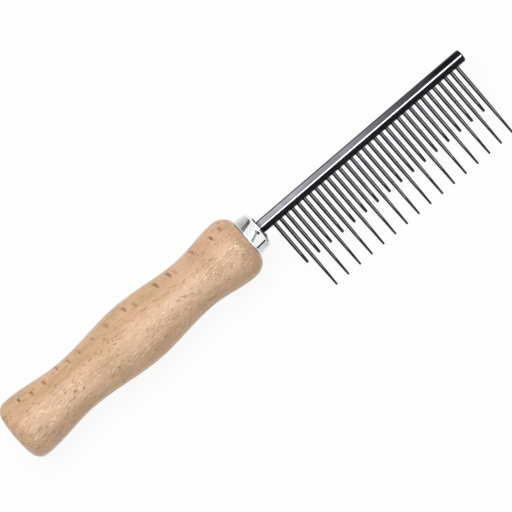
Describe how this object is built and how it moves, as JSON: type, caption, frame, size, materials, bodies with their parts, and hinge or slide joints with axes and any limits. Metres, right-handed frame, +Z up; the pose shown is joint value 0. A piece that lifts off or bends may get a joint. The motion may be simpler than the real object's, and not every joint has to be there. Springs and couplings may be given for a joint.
{
  "type": "dematting comb",
  "caption": "Pet grooming comb: a turned wooden handle, a bright metal ferrule and a round steel spine with one row of straight pins, long and short by turns.",
  "frame": {"origin": "on the surface the comb lies on, under the middle of its box", "axes": "+X along the comb from the butt to the spine's tip, +Z up; the pins point to -Y and droop until the long ones touch the surface"},
  "size_m": [0.211, 0.0439, 0.025],
  "materials": {
    "beech_wood": "satin lacquered beech with fine pores and flecks",
    "chrome_ferrule": "bright plated pressing",
    "spine_steel": "dark polished steel rod",
    "pin_steel": "polished steel wire"
  },
  "bodies": {
    "root": {"handle": "beech_wood", "ferrule": "chrome_ferrule", "spine": "spine_steel", "short_pin_01": "pin_steel", "long_pin_01": "pin_steel", "short_pin_02": "pin_steel", "long_pin_02": "pin_steel", "short_pin_03": "pin_steel", "long_pin_03": "pin_steel", "short_pin_04": "pin_steel", "long_pin_04": "pin_steel", "short_pin_05": "pin_steel", "long_pin_05": "pin_steel", "short_pin_06": "pin_steel", "long_pin_06": "pin_steel", "short_pin_07": "pin_steel", "long_pin_07": "pin_steel", "short_pin_08": "pin_steel", "long_pin_08": "pin_steel", "short_pin_09": "pin_steel", "long_pin_09": "pin_steel", "short_pin_10": "pin_steel", "long_pin_10": "pin_steel", "short_pin_11": "pin_steel", "long_pin_11": "pin_steel", "short_pin_12": "pin_steel", "long_pin_12": "pin_steel", "short_pin_13": "pin_steel", "long_pin_13": "pin_steel", "short_pin_14": "pin_steel", "long_pin_14": "pin_steel", "short_pin_15": "pin_steel", "long_pin_15": "pin_steel", "short_pin_16": "pin_steel", "long_pin_16": "pin_steel"}
  },
  "joints": []
}
